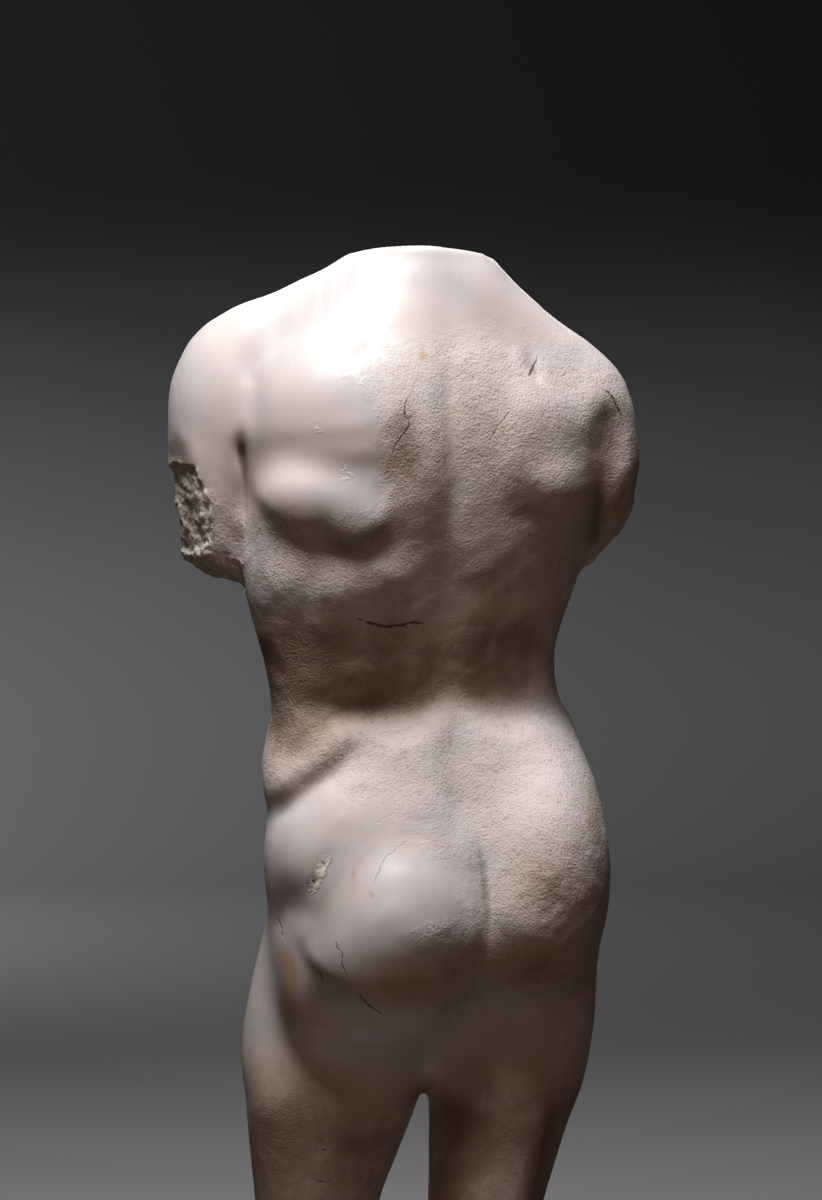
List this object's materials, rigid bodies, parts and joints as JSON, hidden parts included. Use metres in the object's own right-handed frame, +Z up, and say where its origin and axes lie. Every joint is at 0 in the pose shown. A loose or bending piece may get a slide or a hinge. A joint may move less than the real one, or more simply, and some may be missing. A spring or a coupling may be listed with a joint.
{
  "type": "marble torso sculpture",
  "caption": "Life-size marble torso of a standing nude man, broken at the neck, upper arms and thighs, set on a low rectangular stone plinth.",
  "frame": {"origin": "centre of the plinth's underside", "axes": "+Z up, the figure's front towards -Y, the figure's left towards +X"},
  "size_m": [0.4579, 0.3399, 1.1496],
  "materials": {
    "torso": "worn white marble, part polished and part pitted, with tan patina",
    "plinth": "honed grey limestone"
  },
  "bodies": {
    "root": {"torso": "torso", "plinth": "plinth"}
  },
  "joints": []
}
